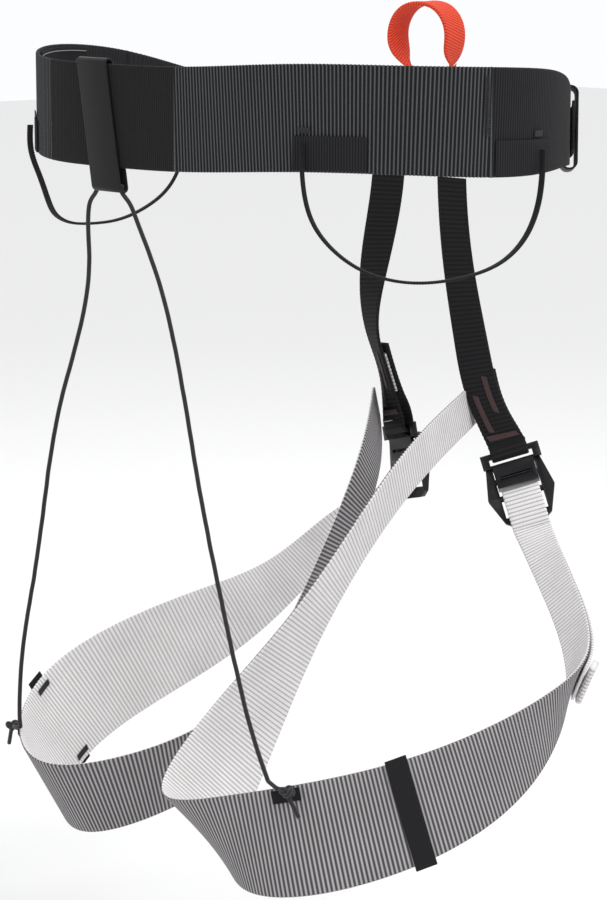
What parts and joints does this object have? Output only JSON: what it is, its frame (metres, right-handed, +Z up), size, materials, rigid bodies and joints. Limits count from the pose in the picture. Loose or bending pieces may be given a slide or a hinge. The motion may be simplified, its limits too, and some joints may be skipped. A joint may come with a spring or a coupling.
{
  "type": "climbing harness",
  "caption": "Light climbing harness of flat webbing: waist belt with gear loops and a red belay loop, and two leg loops on buckled risers with elastic rear cords.",
  "frame": {"origin": "centre of the bounding box's bottom face, under the middle of the harness", "axes": "+Z up as worn, +X to the wearer's left, the wearer faces -Y; the belay loop is at -Y and the rear cords at +Y"},
  "size_m": [0.2937, 0.2578, 0.4198],
  "materials": {
    "black_webbing": "matte woven nylon, smooth face",
    "ribbed_webbing": "matte woven nylon with upright black and grey ribs",
    "leg_webbing": "woven nylon, light grey towards the leg and dark grey outside",
    "belay_webbing": "red-orange woven nylon",
    "belay_thread": "red sewing thread",
    "brown_thread": "dark brown sewing thread",
    "black_thread": "black sewing thread",
    "black_tape": "fine black tape",
    "elastic_cord": "braided elastic cord",
    "black_metal": "satin black"
  },
  "bodies": {
    "waist": {"belt_back": "black_webbing", "belt_front_left": "black_webbing", "belt_front_right": "black_webbing", "belt_hip_left": "ribbed_webbing", "belt_hip_right": "ribbed_webbing", "elastic_cord_left": "elastic_cord", "elastic_cord_right": "elastic_cord", "gear_loop_bartacks": "black_thread", "hip_stitching": "black_thread", "ice_clipper_sleeves": "black_webbing", "inner_label": "black_tape", "rear_tab": "black_tape", "riser_anchor_left": "black_webbing", "riser_anchor_right": "black_webbing", "tie_in_bartacks": "black_thread", "tie_in_loop": "black_webbing", "waist_buckle_frame": "black_metal", "waist_buckle_slider": "black_metal", "waist_fold": "black_webbing", "waist_strap": "black_webbing", "waist_strap_keeper": "black_webbing"},
    "right_leg": {"cord_anchor_right": "black_tape", "cord_knot_right": "elastic_cord", "hook_plate_right": "black_metal", "keeper_bartacks_right": "black_thread", "leg_end_right": "leg_webbing", "leg_keeper_right": "black_tape", "leg_loop_right": "leg_webbing", "riser_bartacks_right": "brown_thread", "riser_return_right": "black_webbing", "riser_right": "black_webbing", "strap_stopper_right": "leg_webbing", "strap_tail_right": "leg_webbing"},
    "right_buckle": {"buckle_frame_right": "black_metal", "strap_turn_right": "leg_webbing"},
    "right_gear_loop": {"gear_loop_right": "black_tape"},
    "left_leg": {"cord_anchor_left": "black_tape", "cord_knot_left": "elastic_cord", "hook_plate_left": "black_metal", "keeper_bartacks_left": "black_thread", "leg_end_left": "leg_webbing", "leg_keeper_left": "black_tape", "leg_loop_left": "leg_webbing", "riser_bartacks_left": "brown_thread", "riser_left": "black_webbing", "riser_return_left": "black_webbing", "strap_stopper_left": "leg_webbing", "strap_tail_left": "leg_webbing"},
    "left_buckle": {"buckle_frame_left": "black_metal", "strap_turn_left": "leg_webbing"},
    "left_gear_loop": {"gear_loop_left": "black_tape"},
    "belay": {"belay_loop": "belay_webbing", "belay_bartacks": "belay_thread"}
  },
  "joints": [
    {"name": "right_leg_swing", "type": "hinge", "parent": "waist", "child": "right_leg", "pos_m": [-0.001, -0.09518, 0.3305], "axis": [-1, 0, 0], "range_deg": [-10, 35], "deforming": ["elastic_cord_right"]},
    {"name": "left_leg_swing", "type": "hinge", "parent": "waist", "child": "left_leg", "pos_m": [0.0418, -0.09094, 0.3305], "axis": [-1, 0, 0], "range_deg": [-10, 35], "deforming": ["elastic_cord_left"]},
    {"name": "right_buckle_tilt", "type": "hinge", "parent": "right_leg", "child": "right_buckle", "pos_m": [-0.0295, -0.1165, 0.1745], "axis": [-0.6407, -0.7108, 0.2903], "range_deg": [-20, 3]},
    {"name": "left_buckle_tilt", "type": "hinge", "parent": "left_leg", "child": "left_buckle", "pos_m": [0.048, -0.112, 0.179], "axis": [-0.9553, 0.1871, 0.2291], "range_deg": [-8, 3]},
    {"name": "right_gear_loop_lift", "type": "hinge", "parent": "waist", "child": "right_gear_loop", "pos_m": [-0.10964, 0.03154, 0.35867], "axis": [0.5792, 0.8144, 0.036], "range_deg": [0, 70]},
    {"name": "left_gear_loop_lift", "type": "hinge", "parent": "waist", "child": "left_gear_loop", "pos_m": [0.12676, 0.02745, 0.35336], "axis": [0.1841, -0.9776, -0.1018], "range_deg": [0, 70]},
    {"name": "belay_loop_fall", "type": "hinge", "parent": "waist", "child": "belay", "pos_m": [0.02273, -0.10678, 0.35028], "axis": [0.9949, 0.101, 0], "range_deg": [0, 150]}
  ]
}
